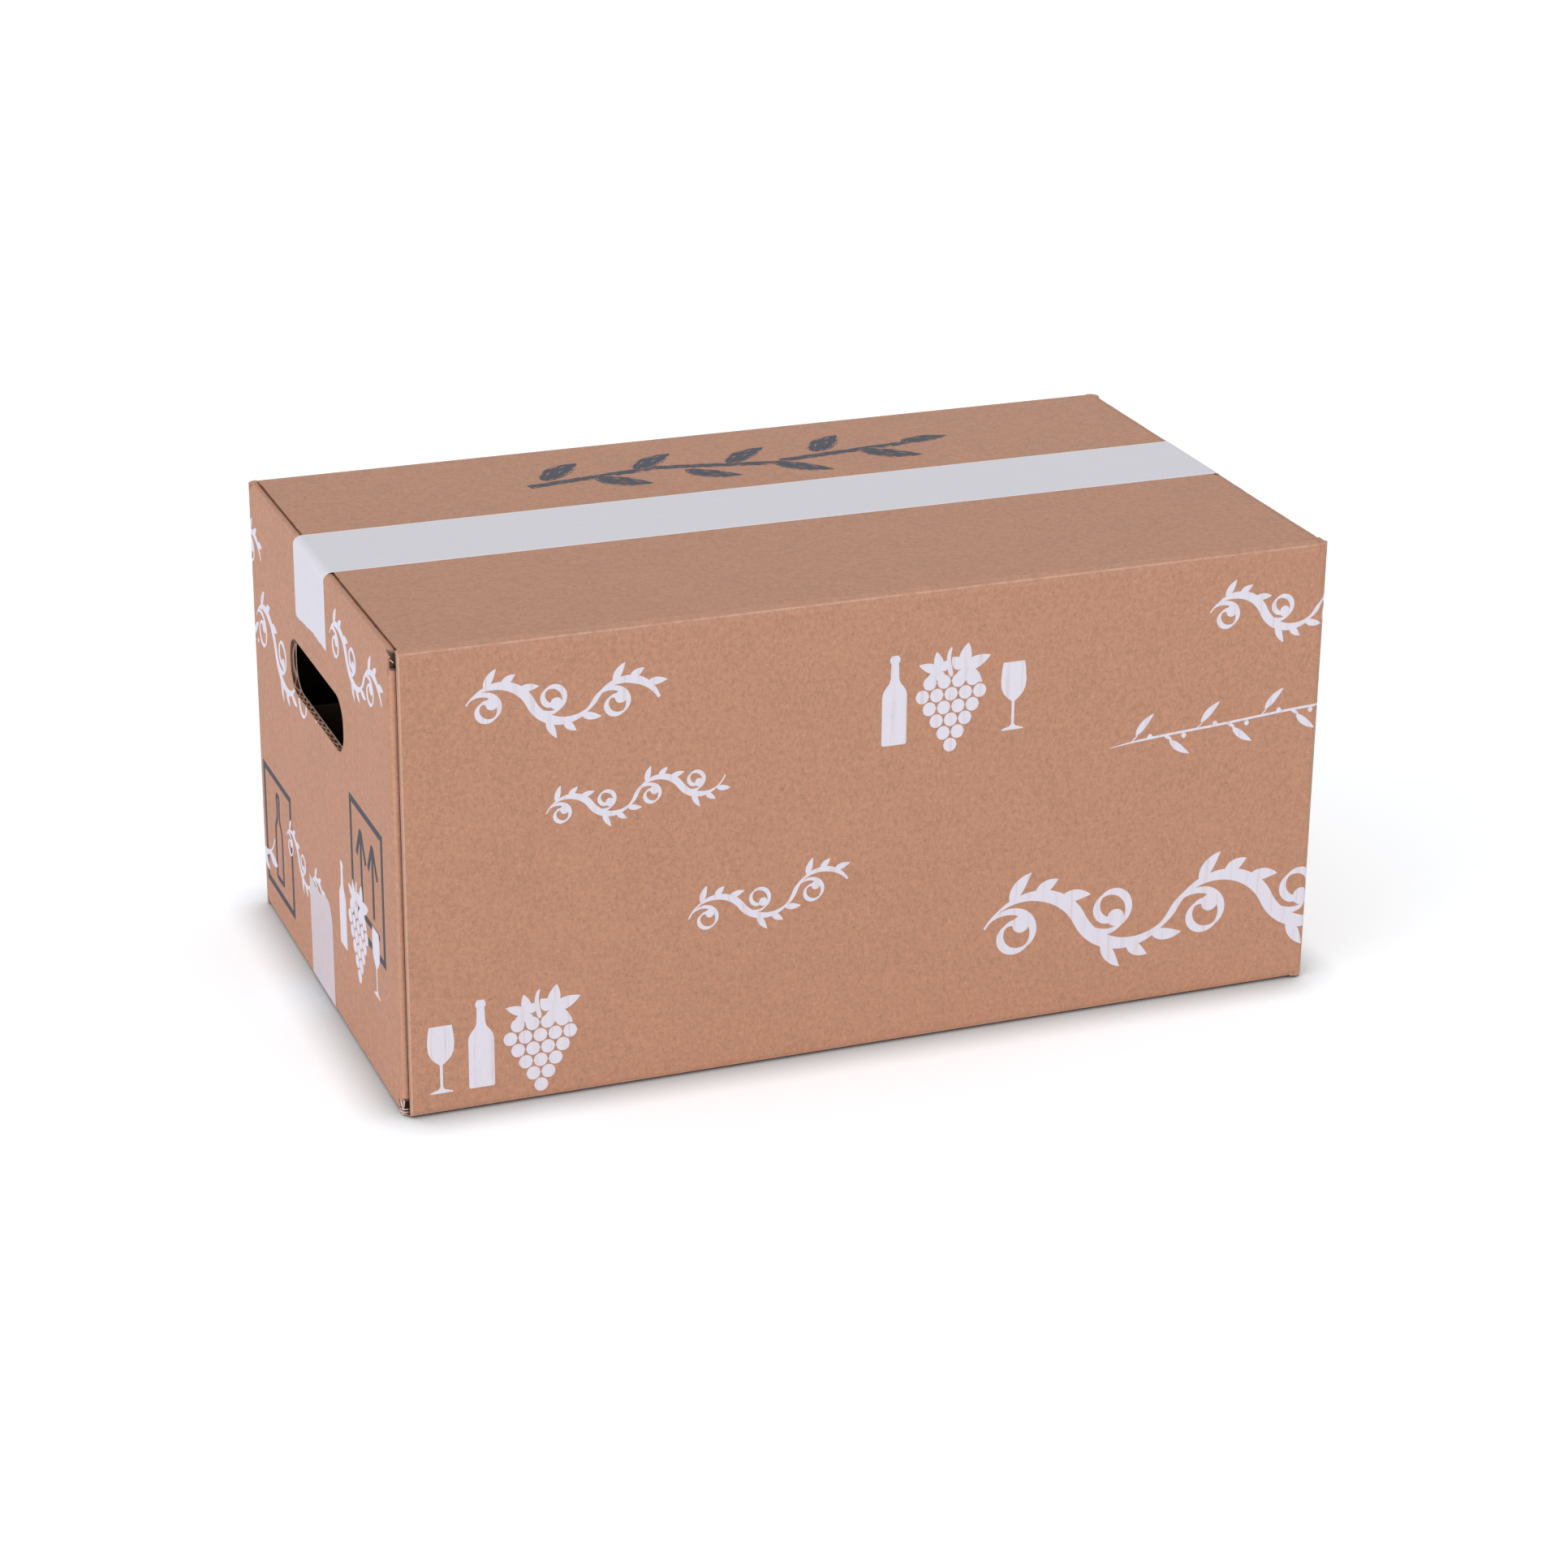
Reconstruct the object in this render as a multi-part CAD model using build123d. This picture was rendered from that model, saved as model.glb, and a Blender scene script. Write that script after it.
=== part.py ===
from build123d import *
import os

# Shipping box for six bottles that lie in two layers of three.
# Sizes are in millimetres. The origin is on the floor under the middle of the box,
# X runs along the box, Y to its back and Z up.

# Carton: one corrugated sheet, creased, glued at the front left edge and folded shut
box_length = 408.0  # over the two end panels
box_width = 234.0  # over the two long panels
box_height = 201.0  # over the long flaps, which lie outermost
board = 3.0  # single-wall corrugated board
crease_inside = 1.0  # inside radius of every crease
ply_gap = 0.3  # air between a long flap and the short flap under it
seam_gap = 1.0  # between the two long flaps, where they meet
long_flap_inset = 4.5  # end of a long flap, from the end panel's face
short_flap_inset = 5.0  # side of a short flap, from the long panel's face
post_inset = 0.8  # top of a corner post, below the long flaps

# Glue joint: the left end panel turns in behind the front panel
joint_setback = 3.2  # raw edge of the front panel, from the end panel's face
tab_width = 35.0  # from the end panel's face
tab_taper = 8.0  # rise of the tab's slanted ends
joint_slot_inset = 10.0  # side of the short flaps at the joint, from the front face
joint_slot_depth = 7.0  # slot over the joint, from the long flaps

# Hand holes in both end panels
hole_length = 89.0
hole_height = 25.0
hole_corner = 11.0
hole_middle_y = 4.6
hole_middle_z = 141.0  # above the floor

# Adhesive tape over both seams
top_tape_width = 50.0
top_tape_y = 9.0
top_tape_drop = 34.0  # down each end panel
bottom_tape_width = 38.0
bottom_tape_y = 10.0
bottom_tape_rise = 48.0  # up each end panel
tape_film = 0.15

# Bottle dividers of thin board, slotted into each other, and the pad between the layers
divider_board = 1.6
finger_room = 35.4  # between an end panel and the cross divider behind it
divider_play = 0.3  # at each end of a divider, and at each edge of the pad
head_play = 1.0  # above the upper dividers
slot_play = 0.4  # width of a slot over the board in it
divider_lip = 5.0  # top of an upper long divider past the cross divider in it
hole_clearance = 6.0  # that divider's low end, under the hand hole

half_length = box_length / 2
half_width = box_width / 2
crease = crease_inside + board
floor_z = tape_film
top_z = floor_z + box_height
middle_z = floor_z + box_height / 2
plies = 2 * board + ply_gap
inner_length = box_length - 2 * board
inner_width = box_width - 2 * board
long_flap_end = half_length - long_flap_inset
short_flap_side = half_width - short_flap_inset
joint_side = -half_width + joint_slot_inset
short_flap_length = (box_width - seam_gap) / 2
joint_face = -half_width + board

divider_floor = floor_z + plies
divider_height = (box_height - 2 * plies - divider_board - head_play) / 2
pad_floor = divider_floor + divider_height
upper_floor = pad_floor + divider_board
insert_end = inner_length / 2 - crease_inside - divider_play
insert_side = inner_width / 2 - board - divider_play  # clears the glue tab
cross_x = inner_length / 2 - finger_room - divider_board / 2
lane = (inner_width - 2 * divider_board) / 3
long_y = (lane + divider_board) / 2


def block(x, y, z):
    """A box between two limits on each axis."""
    size = [limits[1] - limits[0] for limits in (x, y, z)]
    middle = [(limits[0] + limits[1]) / 2 for limits in (x, y, z)]
    return Pos(*middle) * Box(*size)


def hoop(plane, across, up, thickness, outside_radius):
    """Face of a sheet folded round a rectangle, with a rounded fold at each corner."""
    inside = RectangleRounded(
        across - 2 * thickness, up - 2 * thickness, outside_radius - thickness
    )
    return plane * (RectangleRounded(across, up, outside_radius) - inside)


def through(face, thickness):
    """The face made solid to both sides of its plane."""
    return extrude(face, amount=thickness / 2, both=True)


def walls():
    """The four panels with their creases, cut down where the flaps fold over."""
    height = box_height - 2 * post_inset
    ring = Pos(0, 0, middle_z) * through(
        hoop(Plane.XY, box_length, box_width, board, crease), height
    )
    joint_corner = block(
        (-half_length, -half_length + joint_setback + crease),
        (-half_width, joint_face + crease),
        (floor_z, top_z),
    )
    ring = ring - joint_corner + glue_joint()
    left_end = (-box_length, -half_length + tab_width + board)
    cuts = (
        ((-long_flap_end, long_flap_end), (-box_width, box_width), crease),
        ((-box_length, box_length), (joint_side, short_flap_side), board + ply_gap + crease),
        (left_end, (joint_face, joint_side), joint_slot_depth),
    )
    for x, y, depth in cuts:
        ring -= block(x, y, (floor_z - board, floor_z + depth))
        ring -= block(x, y, (top_z - depth, top_z + board))
    return ring


def glue_joint():
    """Raw edge of the front panel, and the end panel's fold and tab behind it."""
    front_edge = block(
        (-half_length + joint_setback, -half_length + joint_setback + crease),
        (-half_width, joint_face),
        (floor_z + crease, top_z - crease),
    )
    quarter = Pos(-crease / 2, -crease / 2) * Rectangle(crease, crease)
    fold = (Circle(crease) - Circle(crease_inside)) & quarter
    fold = through(fold, box_height - 2 * joint_slot_depth)
    fold = Pos(-half_length + crease, joint_face + crease, middle_z) * fold
    near = -half_length + crease
    far = -half_length + tab_width
    low = floor_z + joint_slot_depth
    high = top_z - joint_slot_depth
    outline = Polyline(
        (near, low), (far, low + tab_taper), (far, high - tab_taper), (near, high), close=True
    )
    tab = Pos(0, joint_face + board / 2, 0) * through(Plane.XZ * make_face(outline), board)
    return front_edge + fold + tab


def long_flaps():
    """The long panels with their four flaps, outermost at the top and the bottom."""
    band = Pos(0, 0, middle_z) * through(
        hoop(Plane.YZ, box_width, box_height, board, crease), 2 * long_flap_end
    )
    seam = block(
        (-half_length, half_length), (-seam_gap / 2, seam_gap / 2), (floor_z - board, top_z + board)
    )
    return band - seam


def short_flaps():
    """The end panels with their four flaps, which lie under the long ones."""
    height = box_height - 2 * (board + ply_gap)
    side = short_flap_side - joint_side
    band = through(hoop(Plane.XZ, box_length, height, board, crease), side)
    band = Pos(0, (short_flap_side + joint_side) / 2, middle_z) * band
    reach = half_length - short_flap_length
    gap = block((-reach, reach), (-half_width, half_width), (floor_z, top_z))
    return band - gap


def hand_holes():
    """The cutter for the hand holes, through both end panels."""
    hole = Plane.YZ * RectangleRounded(hole_length, hole_height, hole_corner)
    return Pos(0, hole_middle_y, hole_middle_z) * through(hole, box_length + 2 * board)


def tape(width, y, reach, upper):
    """A strip along a seam and round both ends, seated on the flaps' edges."""
    bend = long_flap_inset + tape_film
    strip = hoop(
        Plane.XZ, box_length + 2 * tape_film, box_height + 2 * tape_film, tape_film, bend
    )
    strip = Pos(0, y, middle_z) * through(strip, width)
    if upper:
        rest = (floor_z - board, top_z - reach)
    else:
        rest = (floor_z + reach, top_z + board)
    return strip - block((-box_length, box_length), (-box_width, box_width), rest)


def long_divider(y, z, shouldered):
    """An upright along the box, slotted from above where the cross dividers go in."""
    plate = block(
        (-insert_end, insert_end),
        (y - divider_board / 2, y + divider_board / 2),
        (z, z + divider_height),
    )
    slot = (divider_board + slot_play) / 2
    top = z + divider_height
    for x in (-cross_x, cross_x):
        plate -= block((x - slot, x + slot), (y - board, y + board), (z + divider_height / 2, top))
    if shouldered:
        lip_end = cross_x + divider_board / 2 + divider_lip
        shoulder_z = hole_middle_z - hole_height / 2 - hole_clearance
        for x in ((-insert_end, -lip_end), (lip_end, insert_end)):
            plate -= block(x, (y - board, y + board), (shoulder_z, top))
    return plate


def cross_divider(x, z):
    """An upright across the box, slotted from below to sit over the long dividers."""
    plate = block(
        (x - divider_board / 2, x + divider_board / 2),
        (-insert_side, insert_side),
        (z, z + divider_height),
    )
    slot = (divider_board + slot_play) / 2
    for y in (-long_y, long_y):
        plate -= block((x - board, x + board), (y - slot, y + slot), (z, z + divider_height / 2))
    return plate


def layer_pad():
    """The loose sheet that the upper layer lies on."""
    return block(
        (-insert_end, insert_end), (-insert_side, insert_side), (pad_floor, upper_floor)
    )


parts = {
    "carton": walls() + long_flaps() + short_flaps() - hand_holes(),
    "top_tape": tape(top_tape_width, top_tape_y, top_tape_drop, upper=True),
    "bottom_tape": tape(bottom_tape_width, bottom_tape_y, bottom_tape_rise, upper=False),
    "layer_pad": layer_pad(),
}
for layer, z in (("lower", divider_floor), ("upper", upper_floor)):
    for side, y in (("front", -long_y), ("back", long_y)):
        parts[f"{layer}_long_divider_{side}"] = long_divider(y, z, layer == "upper")
    for side, x in (("left", -cross_x), ("right", cross_x)):
        parts[f"{layer}_cross_divider_{side}"] = cross_divider(x, z)

os.makedirs("parts", exist_ok=True)
for node, shape in parts.items():
    export_step(shape, f"parts/{node}.step")
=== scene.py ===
import math
import random

import bmesh
import bpy
from mathutils import Matrix, Vector


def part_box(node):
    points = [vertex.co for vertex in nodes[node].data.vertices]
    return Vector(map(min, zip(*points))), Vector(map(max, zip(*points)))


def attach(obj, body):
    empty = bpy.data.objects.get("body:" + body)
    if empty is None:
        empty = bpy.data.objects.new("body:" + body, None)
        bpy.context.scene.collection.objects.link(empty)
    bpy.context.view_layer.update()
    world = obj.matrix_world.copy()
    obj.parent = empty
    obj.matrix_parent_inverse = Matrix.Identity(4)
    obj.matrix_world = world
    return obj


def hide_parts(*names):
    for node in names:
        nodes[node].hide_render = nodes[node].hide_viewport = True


mm = 0.001
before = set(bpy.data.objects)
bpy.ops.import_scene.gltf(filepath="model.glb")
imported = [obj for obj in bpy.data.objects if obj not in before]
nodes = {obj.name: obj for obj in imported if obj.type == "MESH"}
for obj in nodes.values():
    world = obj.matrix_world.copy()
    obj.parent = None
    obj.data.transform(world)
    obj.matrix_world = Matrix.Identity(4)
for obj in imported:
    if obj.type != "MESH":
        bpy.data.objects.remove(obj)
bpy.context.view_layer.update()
scene = bpy.context.scene

# The box as the frame gives it, in millimetres
low, high = [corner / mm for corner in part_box("carton")]
endX, sideY, floorZ, topZ = high.x, high.y, low.z, high.z
boxLength, boxWidth = 2 * endX, 2 * sideY
girth = boxLength + boxWidth  # half of the way round, after which the print repeats

# The board and its cuts, as in the solids
board = 3.0
fold = 4.0  # outside radius of every crease
flapInset = 4.5  # end of a long flap, from the end panel's face
setback = 3.2  # raw edge of the front panel, from the end panel's face
holeY, holeZ = 4.6, 141.15  # middle of both hand holes
holeLength, holeHeight, holeCorner = 89.0, 25.0, 11.0

# Camera at the photograph's viewpoint
cameraLook = {
    "lens": 89.0,
    "place": (-562.4, -1477.7, 721.15),
    "azimuth": 20.97,
    "downward": 22.25,
    "roll": 0.5,
}


def addObject(name, data):
    made = bpy.data.objects.new(name, data)
    scene.collection.objects.link(made)
    return made


def makeCamera(look):
    data = bpy.data.cameras.new("camera")
    data.lens = look["lens"]
    data.sensor_width = 36
    data.clip_start, data.clip_end = 0.05, 60
    camera = addObject("camera", data)
    turn = Matrix.Rotation(math.radians(-look["azimuth"]), 4, "Z")
    turn @= Matrix.Rotation(math.radians(90 - look["downward"]), 4, "X")
    turn @= Matrix.Rotation(math.radians(look["roll"]), 4, "Z")
    camera.matrix_world = Matrix.Translation(Vector(look["place"]) * mm) @ turn
    scene.camera = camera


makeCamera(cameraLook)
print("camera placed")


def mathNode(operation):  # an operator or method of a wire, which adds a Math node
    return lambda wire, other: wire.graph.maths(operation, wire, other)


class Wire:  # a socket, for sums in plain operators
    def __init__(self, graph, socket):
        self.graph = graph
        self.socket = socket

    __add__ = __radd__ = mathNode("ADD")
    __mul__ = __rmul__ = mathNode("MULTIPLY")
    __sub__ = mathNode("SUBTRACT")
    least = mathNode("MINIMUM")
    most = mathNode("MAXIMUM")

    def __rsub__(self, other):
        return self.graph.maths("SUBTRACT", other, self)

    def __abs__(self):
        return self.graph.maths("ABSOLUTE", self)

    def ramp(self, low, high):  # 0 at low, 1 at high, eased between
        sockets = {"Value": self, "From Min": low, "From Max": high}
        return self.graph.node("ShaderNodeMapRange", sockets, {"interpolation_type": "SMOOTHSTEP"})

    def band(self, low, high, soft):  # 1 between the two limits
        return self.ramp(low - soft, low + soft) * self.ramp(high + soft, high - soft)

    def split(self):
        apart = self.graph.node("ShaderNodeSeparateXYZ", {0: self}).socket.node
        return [Wire(self.graph, output) for output in apart.outputs]

    def stretch(self, factors):
        sockets = {0: self, 1: factors}
        return self.graph.node("ShaderNodeVectorMath", sockets, {"operation": "MULTIPLY"})

    def noise(self, scale, detail, roughness):  # one scale, or one for each axis
        if isinstance(scale, tuple):
            return self.stretch(scale).noise(1.0, detail, roughness)
        sockets = {"Vector": self, "Scale": scale, "Detail": detail, "Roughness": roughness}
        return self.graph.node("ShaderNodeTexNoise", sockets)


class Graph:
    def __init__(self, tree):
        self.tree = tree

    def node(self, kind, sockets=None, settings=None, output=0):
        made = self.tree.nodes.new(kind)
        for name, value in (settings or {}).items():
            setattr(made, name, value)
        for name, value in (sockets or {}).items():
            if isinstance(value, Wire):
                self.tree.links.new(value.socket, made.inputs[name])
            else:
                made.inputs[name].default_value = value
        return Wire(self, made.outputs[output]) if made.outputs else made

    def maths(self, operation, *values):
        return self.node("ShaderNodeMath", dict(enumerate(values)), {"operation": operation})

    def combine(self, x=0.0, y=0.0, z=0.0):
        return self.node("ShaderNodeCombineXYZ", {0: x, 1: y, 2: z})


class Finish(Graph):  # the nodes of one material or world
    def __init__(self, name, kind="materials"):
        self.owner = getattr(bpy.data, kind).new(name)
        self.owner.use_nodes = True
        super().__init__(self.owner.node_tree)
        self.tree.nodes.clear()

    def place(self):  # Object coordinates in millimetres
        return self.node("ShaderNodeTexCoord", output="Object").stretch((1000, 1000, 1000))

    def tint(self, colour, tone):
        colour = colour if isinstance(colour, Wire) else colour[:3]
        sockets = {0: colour, "Scale": tone}
        return self.node("ShaderNodeVectorMath", sockets, {"operation": "SCALE"})

    def blend(self, share, below, above):
        sockets = {0: share, 6: below, 7: above}
        return self.node("ShaderNodeMix", sockets, {"data_type": "RGBA"}, output=2)

    def attribute(self, name):
        return self.node("ShaderNodeAttribute", None, {"attribute_name": name}, output="Fac")

    def surface(self, colour, roughness, height=None):  # height in millimetres
        sockets = {"Base Color": colour, "Roughness": roughness}
        if height is not None:
            bump = {"Height": height, "Distance": mm, "Strength": 1.0}
            sockets["Normal"] = self.node("ShaderNodeBump", bump)
        shader = self.node("ShaderNodeBsdfPrincipled", sockets)
        self.node("ShaderNodeOutputMaterial", {"Surface": shader})
        return self.owner


class Recipe(Graph):  # a Geometry Nodes tree with named inputs
    def __init__(self, name, inputs):
        super().__init__(bpy.data.node_groups.new(name, "GeometryNodeTree"))
        self.addSocket("Geometry", "Geometry", "OUTPUT")
        self.addSocket("Geometry", "Geometry")
        self.addSocket("Material", "Material")
        for label, value in inputs.items():
            kind = "Int" if isinstance(value, int) else "Float"
            self.addSocket(label, kind).default_value = value
        self.entry = self.tree.nodes.new("NodeGroupInput")

    def addSocket(self, label, kind, way="INPUT"):
        kind = "NodeSocket" + kind
        return self.tree.interface.new_socket(label, in_out=way, socket_type=kind)

    def given(self, label):
        return Wire(self, self.entry.outputs[label])

    def store(self, geometry, name, value):  # a number kept on each point
        settings = {"data_type": "FLOAT", "domain": "POINT"}
        sockets = {"Geometry": geometry, "Name": name, "Value": value}
        return self.node("GeometryNodeStoreNamedAttribute", sockets, settings)

    def close(self, geometry):
        real = self.node("GeometryNodeRealizeInstances", {0: geometry})
        sockets = {"Geometry": real, "Material": self.given("Material")}
        done = self.node("GeometryNodeSetMaterial", sockets)
        self.node("NodeGroupOutput", {0: done})

    def run(self, data, values):  # the tree's result on the data, as a plain mesh
        maker = addObject(self.tree.name, data)
        modifier = maker.modifiers.new("recipe", "NODES")
        modifier.node_group = self.tree
        for item in self.tree.interface.items_tree:
            if item.in_out == "INPUT" and item.name in values:
                modifier[item.identifier] = values[item.name]
        made = maker.evaluated_get(bpy.context.evaluated_depsgraph_get())
        mesh = bpy.data.meshes.new_from_object(made)
        maker.modifiers.remove(modifier)
        bpy.data.objects.remove(maker)
        return mesh


def screen(*channels):  # a colour as a screen shows it, from 0 to 255
    colour = []
    for channel in channels:
        share = channel / 255
        colour.append(share / 12.92 if share <= 0.04045 else ((share + 0.055) / 1.055) ** 2.4)
    return (*colour, 1.0)


def makePiece(name, mesh, material):
    mesh.materials.clear()
    mesh.materials.append(material)
    piece = addObject(name, mesh)
    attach(piece, "root")
    return piece


# Corrugated board: brown liner with fibres and flecks, over the print-through of the flutes
boardLook = {
    "liner": screen(180, 130, 102),
    "fleck": screen(136, 94, 72),
    "fibre": screen(200, 158, 134),
    "paleEdge": screen(200, 160, 136),
    "cut": screen(216, 192, 178),
    "grooveShade": (0.68, 0.58, 0.54),  # painted shade in the glue joint's fold
    "inside": 0.11,  # painted shade: tone of the inner liner and the dividers
    "fluteStep": 6.4,
    "fluteRise": 0.012,
    "roughness": 0.62,
}


def boardColour(finish):
    place = finish.place()
    grain = place.noise(0.42, 6.0, 0.75)
    weave = place.noise((0.9, 0.9, 0.5), 4.0, 0.7)
    cloud = place.noise(0.035, 3.0, 0.55)
    tone = 0.27 + grain * 0.75 + weave * 0.6 + cloud * 0.1
    colour = finish.tint(boardLook["liner"], tone)
    flecks = place.noise((0.4, 1.1, 1.1), 2.0, 0.7)
    colour = finish.blend(flecks.ramp(0.64, 0.74) * 0.55, colour, boardLook["fleck"])
    fibres = place.noise((0.32, 1.28, 1.44), 2.0, 0.6)
    return finish.blend(fibres.ramp(0.63, 0.75) * 0.5, colour, boardLook["fibre"])


def facesEnd(finish):  # 1 on the end panels' faces, 0 on the others
    normal = finish.node("ShaderNodeNewGeometry", output="True Normal")
    return abs(normal.split()[0])


def fluteWave(finish, operation):  # the flutes stand upright in every wall
    x, y = finish.place().split()[:2]
    across = facesEnd(finish).ramp(0.4, 0.6)
    along = x * (1 - across) + y * across
    return finish.maths(operation, along * (2 * math.pi / boardLook["fluteStep"]))


def boardHeight(finish):
    fibres = finish.place().noise(1.4, 3.0, 0.6)
    return fluteWave(finish, "SINE") * boardLook["fluteRise"] + fibres * 0.05


class Spot:  # a point of the board, and how far in it lies from the faces
    def __init__(self, finish):
        self.place = finish.place()
        self.x, self.y, self.z = self.place.split()
        self.left, self.front = self.x + endX, self.y + sideY
        self.ends, self.sides = endX - abs(self.x), sideY - abs(self.y)
        self.levels = (topZ - self.z).least(self.z - floorZ)


def paleCreases(finish, spot, colour):  # creases are paler in places
    ends, sides, levels = spot.ends, spot.sides, spot.levels
    paleEdge = 0.0
    for near, far, share in ((sides, levels, 0.9), (ends, sides, 0.35), (ends, levels, 0.3)):
        middle = abs(near - far).ramp(1.0, 0.3)
        paleEdge = middle * (near + far).ramp(fold + 1, fold) * share + paleEdge
    over = levels.ramp(0.8, 0.2)  # on the flaps' faces, beside the crease
    line = sides.band(fold - 0.1, fold + 0.4, 0.15) * 0.4
    line += sides.ramp(fold + 0.4, fold - 0.4) * 0.2
    patches = spot.place.noise(0.16, 4.0, 0.75)
    paleEdge = (over * line + paleEdge) * (0.35 + patches.ramp(0.38, 0.6) * 0.65)
    return finish.blend(paleEdge, colour, boardLook["paleEdge"])


def paleRims(finish, spot, colour, frayed):  # hand holes: pale cut paper, with painted shade in the cells
    inWall = abs(spot.x).band(endX - board + 0.04, endX - 0.04, 0.02)
    inWall *= facesEnd(finish).ramp(0.6, 0.4)
    pastY, pastZ = abs(spot.y - holeY) - holeLength / 2, abs(spot.z - holeZ) - holeHeight / 2
    inWall *= pastY.ramp(8, 7) * pastZ.ramp(8, 7)
    deep = pastY.most(pastZ).ramp(0.1, 0.7)
    colour = finish.blend(inWall * (0.25 + frayed * 0.7), colour, boardLook["cut"])
    # Painted shade deep in the flute cells, past the hole's edge
    return finish.tint(colour, 1 - inWall * deep * 0.9)


def shadeJoint(finish, spot, colour, frayed):  # pale on both sides, with painted shade in its fold
    left, front = spot.left, spot.front
    beside = left.band(0.5, 1.5, 0.2) * front.ramp(5, 4) * 0.5
    rim = left.band(setback - 0.05, setback + 0.6, 0.04)
    rim *= front.ramp(board - 0.4, board - 0.7)
    pale = (beside + rim * 1.3) * (0.4 + frayed * 0.4)
    colour = finish.blend(pale, colour, boardLook["paleEdge"])
    # Painted shade on the fold beside the raw edge, where the tab goes in behind the front panel
    grooveShade = left.ramp(setback, setback - 0.15) * left.ramp(2.0, 2.6)
    grooveShade *= front.ramp(5, 4.4)
    return finish.blend(grooveShade, colour, colour.stretch(boardLook["grooveShade"]))


def shadeInside(finish, spot, colour):  # painted shade on the inner liner and the dividers, and in the joint's pockets
    within = spot.ends.ramp(board - 0.05, board)
    within *= spot.sides.ramp(board - 0.05, board)
    within *= spot.levels.ramp(2 * board - 0.05, 2 * board + 0.05)
    colour = finish.tint(colour, 1 - within * (1 - boardLook["inside"]))
    # Painted shade in the pockets at the joint's corners, behind the raw edge
    inset = spot.ends.least(spot.sides).least(spot.levels)
    pocket = inset.ramp(0.7, 1.3) * spot.levels.ramp(8.5, 7.5)
    pocket *= spot.left.ramp(12, 11) * spot.front.ramp(9.5, 8.5)
    past = spot.left.ramp(setback + 0.05, setback - 0.1)
    behind = spot.front.ramp(board, board + 0.2)
    return finish.tint(colour, 1 - pocket * past.most(behind) * 0.85)


def makeBoard():
    finish = Finish("kraftBoard")
    spot = Spot(finish)
    frayed = spot.place.noise(1.1, 3.0, 0.7).ramp(0.36, 0.6)
    colour = paleCreases(finish, spot, boardColour(finish))
    colour = paleRims(finish, spot, colour, frayed)
    colour = shadeJoint(finish, spot, colour, frayed)
    colour = shadeInside(finish, spot, colour)
    return finish.surface(colour, boardLook["roughness"], boardHeight(finish))


boardFinish = makeBoard()
for node in nodes:
    if not node.endswith("tape"):
        slots = nodes[node].data.materials
        slots.clear()
        slots.append(boardFinish)
print("board dressed")

mergeReach = 1e-6  # in metres
smallestIsland = 0.002  # in cubic millimetres


def toMesh(body, name):
    mesh = bpy.data.meshes.new(name)
    body.to_mesh(mesh)
    body.free()
    return mesh


def skin(body, rings):  # faces from each ring of corners to the next
    for ring, after in zip(rings, rings[1:]):
        for index in range(len(ring)):
            turn = (index + 1) % len(ring)
            body.faces.new((ring[index], ring[turn], after[turn], after[index]))
    bmesh.ops.recalc_face_normals(body, faces=body.faces)


# A closed prism over an outline, with each corner taken through place(x, y, z)
def prism(outline, low, high, place):
    body = bmesh.new()
    rings = []
    for level in (low, high):
        corners = [[side * mm for side in place(x, y, level)] for x, y in outline]
        rings.append([body.verts.new(corner) for corner in corners])
    for ring in rings:
        body.faces.new(ring)
    skin(body, rings)
    return toMesh(body, "prism")


def acrossX(y, z, x):  # for an outline in Y and Z
    return x, y, z


def cut(mesh, cutter):  # the mesh less the cutter, both closed
    body, tool = addObject("body", mesh), addObject("tool", cutter)
    modifier = body.modifiers.new("cut", "BOOLEAN")
    modifier.operation = "DIFFERENCE"
    modifier.solver = "EXACT"
    modifier.object = tool
    done = body.evaluated_get(bpy.context.evaluated_depsgraph_get())
    result = bpy.data.meshes.new_from_object(done)
    bpy.data.objects.remove(body)
    bpy.data.objects.remove(tool)
    return result


def volumeOf(island):  # in cubic millimetres, from its first corner
    origin = island[0].verts[0].co.copy()
    volume = 0.0
    for face in island:
        corners = [(vertex.co - origin) / mm for vertex in face.verts]
        for second, third in zip(corners[1:], corners[2:]):
            volume += corners[0].dot(second.cross(third)) / 6
    return volume


# Collapsed corners are merged, specks go, and the faces of each closed island turn outwards
def closeIslands(body):
    bmesh.ops.remove_doubles(body, verts=body.verts, dist=mergeReach)
    bmesh.ops.dissolve_degenerate(body, edges=body.edges, dist=mergeReach)
    bmesh.ops.recalc_face_normals(body, faces=body.faces)
    islands, specks = [], []
    for face in body.faces:
        face.tag = False
    for first in body.faces:
        if first.tag:
            continue
        first.tag = True
        island, waiting = [], [first]
        while waiting:
            face = waiting.pop()
            island.append(face)
            for edge in face.edges:
                for other in edge.link_faces:
                    if not other.tag:
                        other.tag = True
                        waiting.append(other)
        volume = volumeOf(island)
        if abs(volume) < smallestIsland:
            specks += island
            continue
        if volume < 0:
            bmesh.ops.reverse_faces(body, faces=island)
        islands.append(island)
    bmesh.ops.delete(body, geom=specks, context="FACES")
    return islands


# Open board: flutes at the rims of the hand holes, gaps along the edges cut with the flutes
openLook = {
    "liner": 0.4,
    "medium": 0.3,
    "reach": 5.0,  # of the cells, over and under a hand hole
    "firstCell": 1.5,  # past the start of a row that is centred on the hole
    "crushing": 0.28,
    "gap": 0.8,
    "gapStep": 3,
    "gapDepth": 2.2,
    "gapLevel": 0.8,  # under the upper flaps' faces
    "jointGap": (8, 186),  # its start over the floor, and its length
    "seed": 11,
}


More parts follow.
